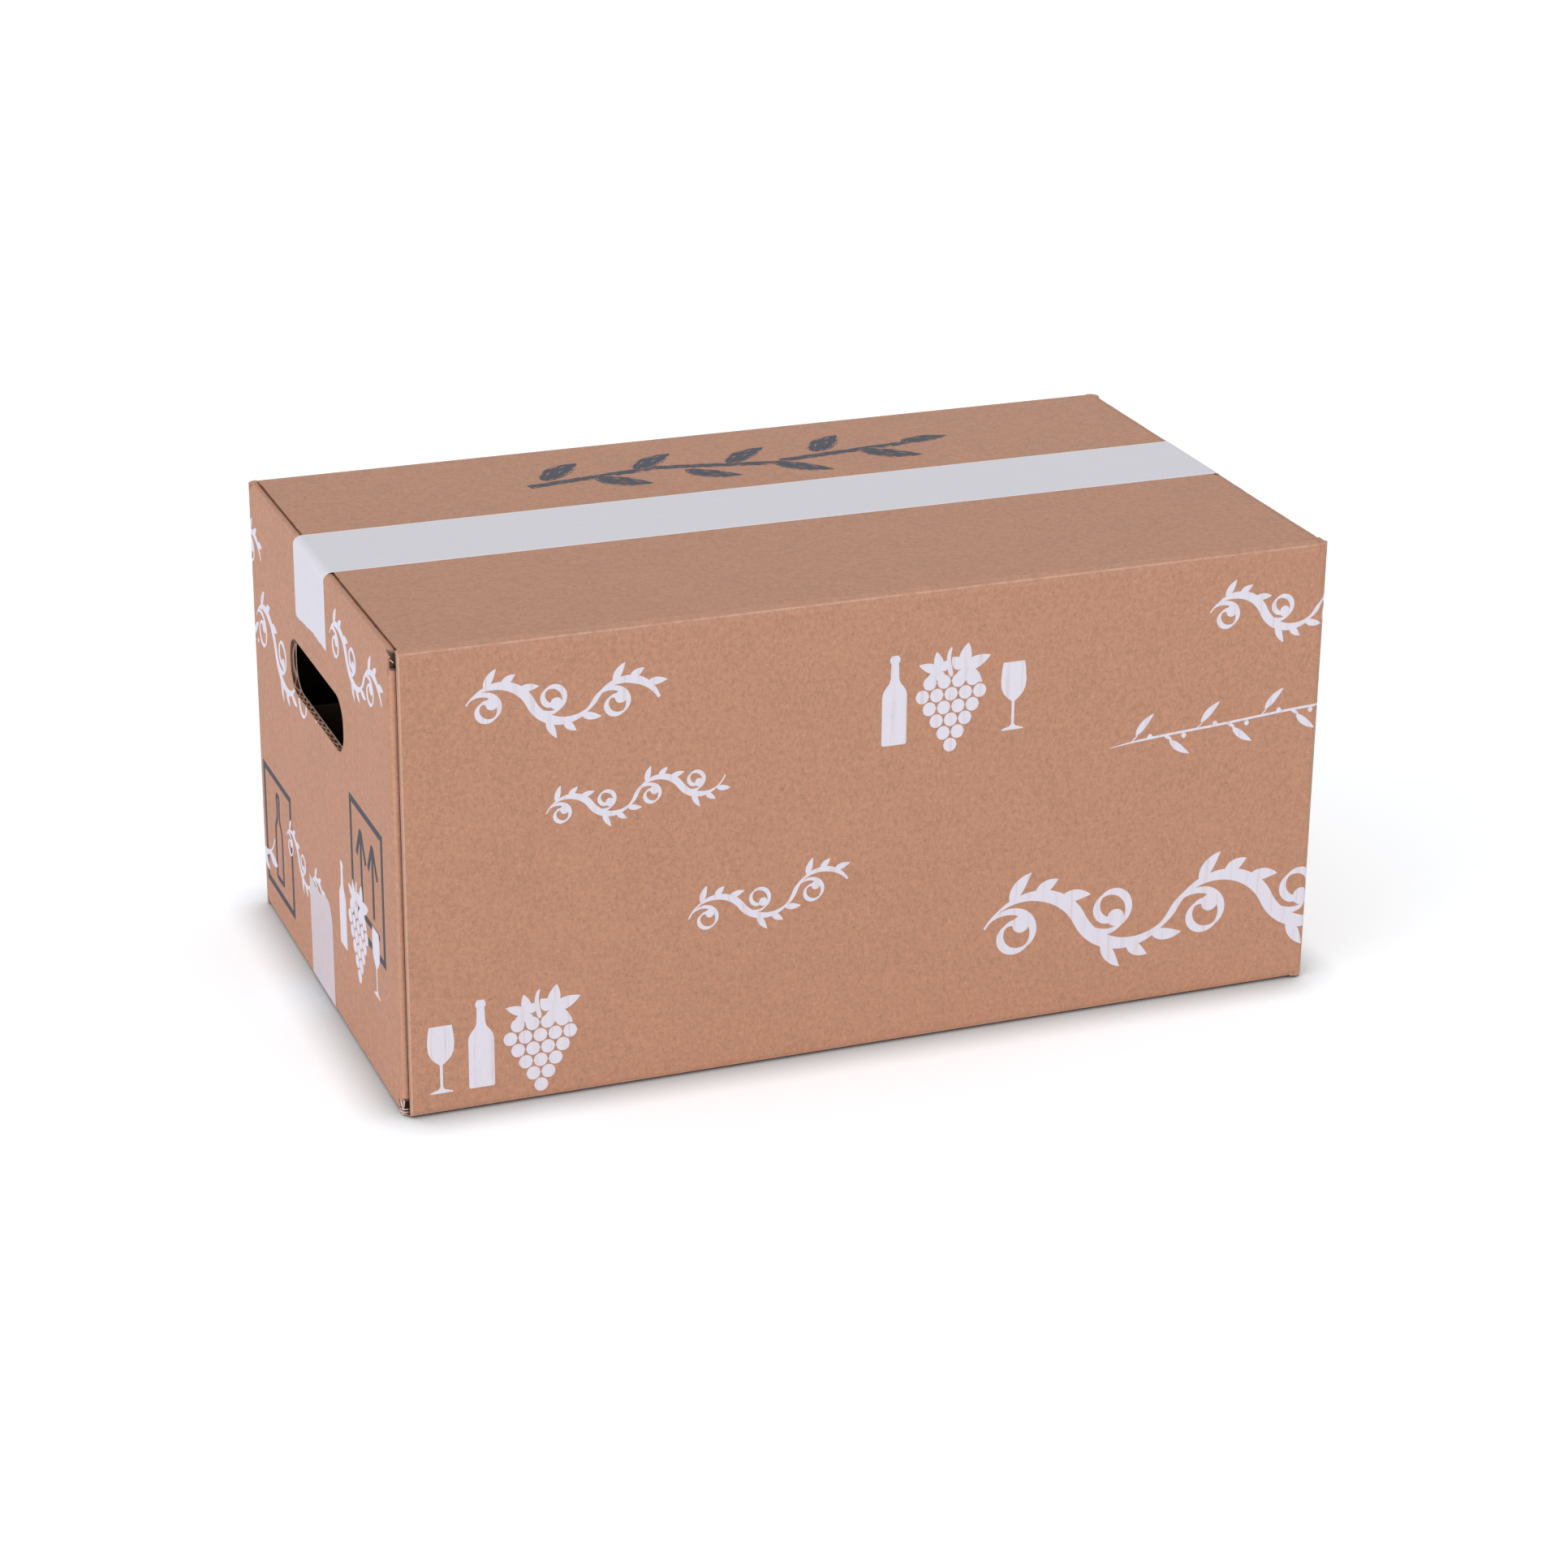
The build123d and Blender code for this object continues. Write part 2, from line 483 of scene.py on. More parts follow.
def makeFluteRow():
    inputs = {"Count": 14, "Pitch": 6.4, "Start": 0.0, "Crushing": 0.3, "Seed": 1}
    recipe = Recipe("fluteRow", inputs)
    start = recipe.combine(y=recipe.given("Start") * mm)
    step = recipe.combine(y=recipe.given("Pitch") * mm)
    sockets = {"Count": recipe.given("Count"), "Start Location": start, "Offset": step}
    points = recipe.node("GeometryNodeMeshLine", sockets)
    low = recipe.combine(1 - recipe.given("Crushing"), 0.95, 1.0)
    sockets = {"Min": low, "Max": (1, 1, 1), "Seed": recipe.given("Seed")}
    squeeze = recipe.node("FunctionNodeRandomValue", sockets, {"data_type": "FLOAT_VECTOR"})
    sockets = {"Points": points, "Instance": recipe.given("Geometry"), "Scale": squeeze}
    recipe.close(recipe.node("GeometryNodeInstanceOnPoints", sockets))
    return recipe


def fluteCutters(look):  # cells between the fluted sheet and each liner, in both end panels
    recipe = makeFluteRow()
    pitch = boardLook["fluteStep"]
    depth = board - 2 * look["liner"] - look["medium"]
    half = pitch / 2 - look["medium"]
    outline = [(0, -half), (0, half)]
    for step in range(1, 8):
        share = step / 8
        outline.append((depth * math.sin(math.pi * share) ** 0.7, half - 2 * half * share))
    outline = [(x, y * (1 - 0.3 * x / depth)) for x, y in outline]
    count = int(holeLength / pitch)
    low = holeZ - holeHeight / 2 - look["reach"]
    high = holeZ + holeHeight / 2 + look["reach"]
    cutters = []
    for side in (-1, 1):
        for inner in (0, 1):
            x = endX - board + look["liner"] if inner else endX - look["liner"]
            way = side if inner else -side
            cell = prism(outline, low, high, lambda px, py, pz, way=way: (px * way, py, pz))
            values = {
                "Start": holeY - count * pitch / 2 + inner * pitch / 2 + look["firstCell"],
                "Count": count + 1, "Pitch": pitch, "Material": boardFinish,
                "Crushing": look["crushing"], "Seed": look["seed"] + inner,
            }
            mesh = recipe.run(cell, values)
            mesh.transform(Matrix.Translation((side * x * mm, 0, 0)))
            cutters.append(mesh)
    return cutters


# Uneven slots between the liners, along the long flaps' ends and the joint's raw edge
def gapCutters(look):
    chance = random.Random(look["seed"])
    cutters = []

    def slot(length, first):
        upper, lower = [], []
        for step in range(int(length / look["gapStep"]) + 1):
            at = first + step * look["gapStep"]
            upper.append((at, look["gap"] / 2 * chance.uniform(0.5, 1.15)))
            lower.append((at, -look["gap"] / 2 * chance.uniform(0.5, 1.15)))
        return upper + lower[::-1]

    reach = sideY - fold
    inside = endX - flapInset - look["gapDepth"]
    for side in (-1, 1):
        for level in (floorZ + board / 2, topZ - look["gapLevel"]):
            outline = slot(2 * reach - 1, -reach + 0.5)
            cutters.append(prism(
                outline, inside, endX + 1,
                lambda at, rise, x, level=level, side=side: (side * x, at, level + rise),
            ))
    start, length = look["jointGap"]
    edge = -endX + setback
    cutters.append(prism(
        slot(length, floorZ + start), edge - 1.0, edge + look["gapDepth"],
        lambda at, rise, x: (x, -sideY + board / 2 + rise, at),
    ))
    return cutters


# Swollen folds of the end panels, which stand up beside the long flaps' ends
shoulderLook = {
    "form": (  # (distance in from the end, depth from the flap's face)
        (-0.02, 10.0), (-0.02, 5.0), (0.12, 3.2), (0.45, 1.9), (1.0, 1.05), (1.9, 0.62),
        (3.0, 0.55), (3.85, 0.8), (4.25, 1.4), (4.38, 2.4), (4.2, 4.0), (2.8, 6.5), (1.2, 10.0),
    ),
    "start": 0.5,  # from the long panels' faces
    "jointStart": (8.2, 4.6),  # from the front face at the glue joint, lower and upper
    "rows": 92,
    "swell": 0.09,  # its most change from row to row
    "settle": 0.2,  # share of it lost from row to row
    "depth": 6,  # where the swelling ends, under the flap's face
    "endDrop": 0.7,  # of the last rows
    "endPull": 0.5,
    "lowerRise": 0.45,  # the lower folds stand out more
    "sharp": 0.8,  # angle from which an edge is shaded sharp
}


def shoulder(look, chance, side, upper):
    start = look["jointStart"][upper] if side < 0 else look["start"]
    first, last = -sideY + start, sideY - look["start"]
    count = look["rows"]
    body = bmesh.new()
    rings = []
    swell = 0.0
    for row in range(count + 1):
        y = first + (last - first) * row / count
        swell += chance.uniform(-look["swell"], look["swell"]) - swell * look["settle"]
        fade = min(1.0, row / 2, (count - row) / 2)
        drop = (1 - fade) * look["endDrop"] + (0.0 if upper else -look["lowerRise"])
        past = max(0.0, abs(y) - (sideY - fold))
        curve = fold - math.sqrt(fold**2 - past**2)
        ring = []
        for inset, depth in look["form"]:
            near = max(0.0, 1 - depth / look["depth"])
            deep = depth + (drop + swell) * near
            x = side * (endX - inset - curve - (1 - fade) * near * look["endPull"])
            z = topZ - deep if upper else floorZ + deep
            ring.append(body.verts.new((x * mm, y * mm, z * mm)))
        rings.append(ring)
    body.faces.new(rings[0])
    body.faces.new(rings[-1])
    skin(body, rings)
    for face in body.faces:
        face.smooth = len(face.verts) == 4
    for edge in body.edges:
        edge.smooth = edge.calc_face_angle(0) < look["sharp"]
    return toMesh(body, "shoulder")


def jointCorners():  # rounded folds that carry the front panel's raw edge into its flaps
    meshes = []
    for upper in (False, True):
        outline = []
        for radius, steps in ((fold, range(7)), (fold - board, range(6, -1, -1))):
            for step in steps:
                angle = math.pi / 2 * step / 6
                y = -sideY + fold - radius * math.cos(angle)
                rise = fold - radius * math.sin(angle)
                outline.append((y, topZ - rise if upper else floorZ + rise))
        meshes.append(prism(outline, -endX + setback, -endX + flapInset, acrossX))
    return meshes


def openCarton(look):
    source = nodes["carton"]
    body = bmesh.new()
    body.from_mesh(source.data)
    body.transform(source.matrix_world)
    bmesh.ops.remove_doubles(body, verts=body.verts, dist=mergeReach)
    bmesh.ops.recalc_face_normals(body, faces=body.faces)
    mesh = toMesh(body, "openCarton")
    for cutters in (fluteCutters(look), gapCutters(look)):
        joined = bmesh.new()
        for cutter in cutters:
            joined.from_mesh(cutter)
        mesh = cut(mesh, toMesh(joined, "tool"))
    whole = bmesh.new()
    whole.from_mesh(mesh)
    closeIslands(whole)
    for face in whole.faces:
        face.smooth = False
    chance = random.Random(look["seed"])
    corners = [(side, upper) for side in (-1, 1) for upper in (False, True)]
    for part in [shoulder(shoulderLook, chance, *corner) for corner in corners] + jointCorners():
        whole.from_mesh(part)
    whole.to_mesh(mesh)
    whole.free()
    piece = makePiece("openCarton", mesh, boardFinish)
    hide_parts("carton")


openCarton(openLook)
print("board opened")


def onward(x, y, heading, length):  # the place ahead, with the heading in degrees
    angle = math.radians(heading)
    return x + math.cos(angle) * length, y + math.sin(angle) * length


# Print: each motif is a set of pen strokes in millimetres, made into thin closed ribbons
class Sketch:
    def __init__(self):
        self.strokes = []  # lists of (x, y, half width), with a flag for the broad nib

    def add(self, points, nib=False):
        self.strokes.append((points, nib))

    # Each run is (length, first turn, last turn), and a turn is in degrees a millimetre
    def bend(self, x, y, heading, runs, width, tips=(0.5, 0.5), nib=True):
        whole = sum(run[0] for run in runs)
        travelled = 0.0
        trail = []
        for length, first, last in runs:
            steps = max(3, round(length / 0.7))
            pace = length / steps
            for step in range(steps):
                trail.append((x, y, heading, travelled / whole))
                heading += (first + (last - first) * (step + 0.5) / steps) * pace
                x, y = onward(x, y, heading, pace)
                travelled += pace
        trail.append((x, y, heading, 1.0))
        points = []
        for px, py, angle, share in trail:
            swell = min(1.0, tips[0] + share * 5, tips[1] + (1 - share) * 5)
            points.append((px, py, width / 2 * swell))
        self.add(points, nib)
        return [spot[:3] for spot in trail]

    def leaf(self, x, y, heading, length, width, turn=0.0):
        points = []
        steps = max(8, round(length / 0.8))
        for step in range(steps + 1):
            share = step / steps
            half = width / 2 * math.sin(math.pi * share**0.8) ** 0.8
            points.append((x, y, max(half, 0.08)))
            heading += turn * length / steps
            x, y = onward(x, y, heading, length / steps)
        self.add(points)

    def vineLeaf(self, x, y, heading, size):
        for turn, share in ((-112, 0.55), (112, 0.55), (-58, 0.86), (58, 0.86), (0, 1.0)):
            self.leaf(x, y, heading + turn, size * share, size * 0.42)

    def berry(self, x, y, radius):
        angles = [math.pi * step / 12 for step in range(13)]
        halves = [max(radius * math.sin(angle), 0.05) for angle in angles]
        self.add([(x - radius * math.cos(angle), y, half) for angle, half in zip(angles, halves)])

    def bunch(self, x, y, radius, widest):
        step = radius * 2.12
        for row, count in enumerate((widest - 1, *range(widest, 0, -1))):
            for berry in range(count):
                left = x + (berry - (count - 1) / 2) * step
                self.berry(left, y - row * step * 0.88, radius)

    def turned(self, x, height, profile):  # an upright silhouette from half widths
        self.add([(x, height * share, height * half) for share, half in profile])

    def outline(self, x, y, height, profile, width):
        right = [(x + height * half, y + height * share) for share, half in profile]
        left = [(2 * x - px, py) for px, py in reversed(right)]
        slit = 0.01  # between the two ends of the line, in the middle of the base
        self.line([(x + slit, y), *right, *left, (x - slit, y)], width)

    def line(self, points, width):
        self.add([(px, py, width / 2) for px, py in points])

    def frame(self, width, height, pen):  # four lines, which meet in square corners
        for y in (0, height):
            self.line([(-pen / 2, y), (width + pen / 2, y)], pen)
        for x in (0, width):
            self.line([(x, 0), (x, height)], pen)

    def arrow(self, x, low, high, pen):  # upright, with both strokes of its head pointed
        self.line([(x, low), (x, high - 1)], pen)
        for side in (-1, 1):
            foot = (x + side * 7, high - 13, pen / 2)
            neck = (x + side * 0.7, high - 1.3, pen / 2)
            self.add([foot, neck, (x, high, pen / 5)])


bottleForm = (  # (share of the height, half width)
    (0.0, 0.125), (0.012, 0.14), (0.55, 0.14), (0.6, 0.13), (0.65, 0.1), (0.69, 0.066),
    (0.74, 0.048), (0.92, 0.042), (0.925, 0.056), (0.975, 0.056), (0.98, 0.043), (1.0, 0.043),
)
glassForm = (
    (0.0, 0.16), (0.025, 0.16), (0.05, 0.05), (0.09, 0.02), (0.42, 0.02), (0.46, 0.07),
    (0.53, 0.14), (0.62, 0.18), (0.74, 0.19), (0.88, 0.18), (1.0, 0.16),
)


# A stem that rises and falls, with a scroll in every hollow and leaves outside
def vine(length, humps, pen, leafSize):
    sketch = Sketch()
    lean = 62
    radius = length / humps / (2 * math.sin(math.radians(lean)))
    arc = 2 * math.radians(lean) * radius
    turn = math.degrees(1 / radius)
    runs = [(arc, -turn * side, -turn * side) for side in [1, -1] * humps][:humps]
    stem = sketch.bend(0, 0, lean, runs, pen, (0.3, 0.3))
    for hump in range(humps):
        side = (1, -1)[hump % 2]
        first = len(stem) * hump // humps
        x, y, heading = stem[first + 2]
        curl = (arc * 1.22, -turn * 1.45 * side, -turn * 4.4 * side)
        end = sketch.bend(x, y, heading - 6 * side, [curl], pen * 0.6, (0.3, 0.7))[-1]
        sketch.berry(end[0], end[1], pen * 0.62)
        for part, size in ((0.3, 1.0), (0.52, 0.75), (0.74, 0.9)):
            x, y, heading = stem[first + int(len(stem) / humps * part)]
            sketch.leaf(x, y, heading + 48 * side, leafSize * size, leafSize * 0.34, -2 * side)
    return sketch


def stillLife(order):  # bold silhouettes side by side: bottle, bunch of grapes and glass
    sketch = Sketch()
    x = 0
    for name in order:
        if name == "bottle":
            sketch.turned(x + 6, 39, bottleForm)
            x += 16
        elif name == "glass":
            sketch.turned(x + 7, 30, glassForm)
            x += 18
        else:
            sketch.bunch(x + 15, 25, 3.0, 5)
            sketch.vineLeaf(x + 20, 30, 20, 13)
            sketch.vineLeaf(x + 10, 30, 160, 10)
            sketch.bend(x + 15, 27, 100, [(13, 2, -8)], 2.2)
            x += 36
    return sketch


# A nearly straight stem with slim leaves in turn above and below it
def sprig(length, leaves, pen, leafSize):
    sketch = Sketch()
    runs = [(length / 2, -0.3, 0.1), (length / 2, 0.1, -0.25)]
    stem = sketch.bend(0, 0, 9, runs, pen, (0.2, 0.6))
    for leaf in range(leaves):
        x, y, heading = stem[int(len(stem) * (leaf + 0.7) / leaves)]
        side = (1, -1)[leaf % 2]
        sketch.bend(x, y, heading + 30 * side, [(leafSize * 0.35, 4 * side, 0)], pen)
        x, y = onward(x, y, heading + 45 * side, leafSize * 0.3)
        sketch.leaf(x, y, heading + 52 * side, leafSize, leafSize * 0.26, -1.6 * side)
        sketch.berry(x + leafSize * 0.55, y - side * leafSize * 0.1, pen * 0.8)
    return sketch


def makePenStroke():
    inputs = {"Nib": 0.0, "Hairline": 0.3, "Nib Angle": 0.7, "Step": 1.2, "Cuts": 1}
    recipe = Recipe("penStroke", inputs)
    sockets = {"Curve": recipe.given("Geometry"), "Length": recipe.given("Step")}
    path = recipe.node("GeometryNodeResampleCurve", sockets, {"mode": "LENGTH"})
    path = recipe.node("GeometryNodeSetCurveNormal", {0: path}, {"mode": "Z_UP"})
    along = recipe.node("GeometryNodeSplineParameter", output="Length")
    path = recipe.store(path, "along", along)
    tangent = recipe.node("GeometryNodeInputTangent").split()
    angle = recipe.maths("ARCTAN2", tangent[1], tangent[0]) - recipe.given("Nib Angle")
    hairline = recipe.given("Hairline")
    broad = hairline + (1 - hairline) * abs(recipe.maths("SINE", angle))
    share = 1 + (broad - 1) * recipe.given("Nib")
    radius = recipe.node("GeometryNodeInputRadius") * share
    sockets = {"Width": 2.0, "Height": 0.02}
    profile = recipe.node("GeometryNodeCurvePrimitiveQuadrilateral", sockets)
    sockets = {"Curve": profile, "Cuts": recipe.given("Cuts")}
    profile = recipe.node("GeometryNodeSubdivideCurve", sockets)
    side = recipe.node("GeometryNodeInputPosition").split()[0]
    profile = recipe.store(profile, "across", side)
    sockets = {"Curve": path, "Profile Curve": profile, "Scale": radius, "Fill Caps": True}
    recipe.close(recipe.node("GeometryNodeCurveToMesh", sockets))
    return recipe


penStroke = makePenStroke()


def ribbons(strokes, nib, material, step, cuts):
    curve = bpy.data.curves.new("strokes", "CURVE")
    curve.dimensions = "3D"
    for level, points in strokes:
        spline = curve.splines.new("POLY")
        spline.points.add(len(points) - 1)
        for point, (x, y, half) in zip(spline.points, points):
            point.co = (x, y, level, 1)
            point.radius = half
    values = {"Nib": nib, "Step": step, "Cuts": cuts, "Material": material}
    mesh = penStroke.run(curve, values)
    bpy.data.curves.remove(curve)
    return mesh


def holeCutter():
    outline = []
    for corner, (sideA, sideB) in enumerate(((1, 1), (-1, 1), (-1, -1), (1, -1))):
        for step in range(9):
            angle = math.pi / 2 * (corner + step / 8)
            y = holeY + sideA * (holeLength / 2 - holeCorner) + holeCorner * math.cos(angle)
            z = holeZ + sideB * (holeHeight / 2 - holeCorner) + holeCorner * math.sin(angle)
            outline.append((y, z))
    return prism(outline, -endX - 2, endX + 2, acrossX)


def nearHole(vertex):
    pastY = abs(vertex.co.y / mm - holeY) - holeLength / 2
    pastZ = abs(vertex.co.z / mm - holeZ) - holeHeight / 2
    return pastY < 1 and pastZ < 1


# Strokes that reach over a hand hole are cut off at its edge, one by one
def clearHole(body, islands):
    pieces, strays = [], []
    for island in islands:
        if not any(nearHole(vertex) for face in island for vertex in face.verts):
            continue
        strays += island
        part = bmesh.new()
        places = {}
        for face in island:
            for vertex in face.verts:
                if vertex not in places:
                    places[vertex] = part.verts.new(vertex.co)
            part.faces.new([places[vertex] for vertex in face.verts])
        pieces.append(cut(toMesh(part, "stroke"), holeCutter()))
    bmesh.ops.delete(body, geom=strays, context="FACES")
    for mesh in pieces:
        body.from_mesh(mesh)
    closeIslands(body)


printSunk, printThickness = 0.03, 0.08  # strokes reach into the board and stand 0.05 proud
strokeRise, riseCount = 0.0015, 40  # of each stroke over the one before it, then again from 0
shapePace = 0.45  # step along a shape, as a share of a nib stroke's


# Strokes of sketches placed as (sketch, x, y, size, tilt), laid on the board by wrap
def layPrint(name, placed, wrap, material, step=1.2, cuts=1, holed=False):
    groups = {True: [], False: []}
    count = 0
    for sketch, left, low, size, tilt in placed:
        cos, sin = math.cos(math.radians(tilt)), math.sin(math.radians(tilt))
        for stroke, nib in sketch.strokes:
            points = [
                (left + (x * cos - y * sin) * size, low + (x * sin + y * cos) * size, half * size)
                for x, y, half in stroke
            ]
            groups[nib].append((count, points))
            count += 1
    joined = bmesh.new()
    for nib, strokes in groups.items():
        if strokes:
            pace = step if nib else step * shapePace
            joined.from_mesh(ribbons(strokes, float(nib), material, pace, cuts))
    for vertex in joined.verts:
        flat = vertex.co.copy()
        level = round(flat.z)
        upper = 1 if flat.z - level > 1e-5 else 0 if flat.z - level < -1e-5 else 0.5
        lift = -printSunk + upper * (printThickness + strokeRise * (level % riseCount))
        vertex.co = Vector(wrap(flat.x, flat.y, lift)) * mm
    islands = closeIslands(joined)
    if holed:
        clearHole(joined, islands)
    for face in joined.faces:
        face.smooth = False
    return makePiece(name, toMesh(joined, name), material)


# From a length along the girth to a place on the walls, with X and Y as one complex number
def wrapRound(s, z, lift):
    s %= 2 * girth
    lengths = (boxLength, boxWidth) * 2
    corners = ((-endX, -sideY), (endX, -sideY), (endX, sideY), (-endX, sideY))
    wall = 0
    while s > lengths[wall] and wall < 3:
        s -= lengths[wall]
        wall += 1
    length = lengths[wall]
    start, turn = s, 0.0
    if s < fold:
        start, turn = fold, (s / fold - 1) * math.pi / 4
    elif s > length - fold:
        start, turn = length - fold, (1 - (length - s) / fold) * math.pi / 4
    outward = (fold + lift) * complex(math.sin(turn), -math.cos(turn))
    place = complex(*corners[wall]) + 1j**wall * (start + fold * 1j + outward)
    return place.real, place.imag, z


inkLook = {
    "ink": screen(217, 213, 222),
    "streaks": 0.22,
    "specks": 0.35,
    "roughness": 0.55,
}


def makeInk(name, look):
    finish = Finish(name)
    place = finish.place()
    streak = place.noise((1.6, 1.6, 0.05), 3.0, 0.65)
    speck = place.noise(1.3, 3.0, 0.7)
    thin = (fluteWave(finish, "COSINE") * 0.16 + streak).ramp(0.56, 0.78) * look["streaks"]
    thin += speck.ramp(0.6, 0.72) * look["specks"]
    colour = finish.blend(thin, look["ink"], boardColour(finish))
    return finish.surface(colour, look["roughness"], boardHeight(finish))


inkFinish = makeInk("paleInk", inkLook)

darkLook = {
    "ink": screen(46, 50, 64),
    "specks": 0.5,
    "roughness": 0.6,
}


def makeDark(name, look, brushed):
    finish = Finish(name)
    if brushed:
        across, along = finish.attribute("across"), finish.attribute("along")
        lane = finish.combine(across * 5 + 3, along * 0.16 + 7, 1.0)
        bristle = lane.noise(1.0, 3.0, 0.6)
        edge = abs(across).ramp(0.5, 1.0) * 0.16
        bare = (bristle + edge).ramp(0.6, 0.66)
    else:
        speck = finish.place().noise(1.5, 3.0, 0.7)
        bare = speck.ramp(0.58, 0.7) * look["specks"]
    colour = finish.blend(bare, look["ink"], boardColour(finish))
    return finish.surface(colour, look["roughness"], boardHeight(finish))


darkFinish = makeDark("darkInk", darkLook, False)
brushFinish = makeDark("dryBrushInk", darkLook, True)

smallVine = vine(80, 3, 4.2, 9.5)
finerVine = vine(76, 4, 3.0, 7.0)
loopVine = vine(70, 3, 3.1, 8.0)
wideVine = vine(104, 3, 4.6, 11)
largeVine = vine(178, 4, 6.4, 16)
leafSprig = sprig(104, 7, 1.5, 12)
firstStill = stillLife(("bottle", "bunch", "glass"))
secondStill = stillLife(("glass", "bottle", "bunch"))

# One set of motifs, from the front left edge round the right end, as (sketch, s, z, size, tilt)
printSet = (
    (smallVine, 30, 176, 1.0, -4),
    (finerVine, 62, 126, 1.0, 5),
    (loopVine, 122, 71, 1.0, 7),
    (firstStill, 205, 135.5, 1.0, 0),
    (smallVine, 353, 176, 0.95, -4),
    (leafSprig, 309, 121, 1.0, 0),
    (largeVine, 254, 46, 1.0, -2),
    (secondStill, 9, 10, 1.0, 0),
    (wideVine, 416, 141, 1.0, -7),
    (loopVine, 455, 51, 0.95, -6),
    (smallVine, 548, 178, 1.0, -2),
    (firstStill, 547, 39.5, 1.0, 0),
)
front = [row for row in printSet if row[1] < boxLength]
end = [row for row in printSet if row[1] > boxLength]
for name, motifs, start in (
    ("frontPrint", front, 0), ("rightPrint", end, 0),
    ("backPrint", front, girth), ("leftPrint", end, girth),
):
    placed = [(sketch, s + start, *rest) for sketch, s, *rest in motifs]
    layPrint(name, placed, wrapRound, inkFinish, cuts=2, holed=motifs is end)
print("print laid")

# Two line frames on each end: one round a bottle, one round a pair of arrows over a line
bottleFigure, arrowFigure = Sketch(), Sketch()
bottleFigure.frame(47, 55, 3.0)
bottleFigure.outline(23.5, 7, 41, bottleForm, 2.4)
arrowFigure.frame(48, 55.5, 3.0)
for x in (15, 33):
    arrowFigure.arrow(x, 14, 46.5, 2.8)
arrowFigure.line([(7, 9), (41, 9)], 2.8)
for name, start in (("rightFigures", boxLength), ("leftFigures", boxLength + girth)):
    placed = [(bottleFigure, start + 9, 16, 1.0, 0), (arrowFigure, start + 163.6, 59.5, 1.0, 0)]
    layPrint(name, placed, wrapRound, darkFinish)


# Crushed corners at the glue joint: curled edges of liner, seen in the pockets
curlLook = {
    "liner": screen(218, 190, 174),
    "thickness": 0.5,
    "roughness": 0.8,
    "low": (  # (x, y, heading, runs) of each curl
        (4.4, 8.2, -84, [(3.6, 4, -6), (2.0, -10, 4)]),
        (5.8, 8.2, -88, [(2.8, -8, 6), (2.6, 8, -14)]),
        (7.4, 8.0, -96, [(3.4, 6, 0), (2.4, 6, -10)]),
        (3.3, 3.2, -26, [(2.0, 2, 10), (2.0, 8, 0)]),
        (3.3, 1.9, -14, [(2.2, 4, -4), (2.4, 2, 8)]),
        (3.3, 0.8, 2, [(2.4, -3, 3), (2.6, 0, 3)]),
    ),
    "high": (
        (3.5, 1.2, 60, [(1.6, -20, 6), (1.4, 26, 10)]),
        (4.6, 1.2, 95, [(1.4, -20, 10), (1.4, 20, 0)]),
    ),
    "strip": ((2.6, 2.6), (1.0, 6.5), (4.6, 6.5), (4.6, 2.6)),  # from the left and the front
    "stripLevels": (0.5, 1.5),
}


def makeCurls(look):
    finish = Finish("tornLiner")
    speck = finish.place().noise(2.2, 3.0, 0.7)
    material = finish.surface(finish.tint(look["liner"], 0.75 + speck * 0.5), look["roughness"])

    def wrap(across, rise, lift):  # just inside the end panel's rounded face
        aside = max(0.0, 7 - across)
        face = -endX + fold - math.sqrt(max(0.0, fold**2 - aside**2))
        depth = 0.6 + 0.3 * math.sin(across * 2.1 + rise * 0.7)
        return face + depth - lift * 3, -sideY + across, rise

    outline = [(-endX + x, -sideY + y) for x, y in look["strip"]]
    low, high = [floorZ + level for level in look["stripLevels"]]
    strip = prism(outline, low, high, lambda x, y, z: (x, y, z))
    makePiece("lowerStrip", strip, boardFinish)
    for name, curls, level, tips in (
        ("lowerCurls", look["low"], floorZ, (0.7, 0.5)),
        ("upperCurls", look["high"], topZ - 6.2, (0.6, 0.4)),
    ):
        sketch = Sketch()
        for x, y, heading, runs in curls:
            sketch.bend(x, y, heading, runs, look["thickness"], tips)
        layPrint(name, [(sketch, 0.2, level, 1.0, 0)], wrap, material, 0.4)


makeCurls(curlLook)


# A twig in dry brush on the top: a long stroke in three pulls, with broad dabs for leaves
def brushedTwig(seed):
    chance = random.Random(seed)
    sketch = Sketch()
    for x, y, heading, length in ((0, 17, 10, 64), (58, 26, -9, 64), (117, 17, 8, 66)):
        sketch.bend(x, y, heading, [(length, -0.15, 0.12)], 5.6, (0.95, 0.4), nib=False)
    for count in range(8):
        side = (1, -1)[count % 2]
        x = 9 + count * 21 + chance.uniform(-1.5, 1.5)
        y = 21 + 3 * math.sin(count * 1.1) + side * 2
        heading = side * chance.uniform(52, 64)
        length, width = chance.uniform(26, 30), chance.uniform(11, 13.5)
        sketch.leaf(x, y, heading, length, width, -side * chance.uniform(0.6, 1.3))
    sketch.leaf(178, 25, 14, 24, 10, -0.6)
    return sketch


placed = [(brushedTwig(5), -91, 48, 1.0, 0)]
layPrint(
    "topBrushwork", placed, lambda x, y, lift: (x, y, topZ + lift), brushFinish, step=1.5, cuts=6
)
print("figures laid")


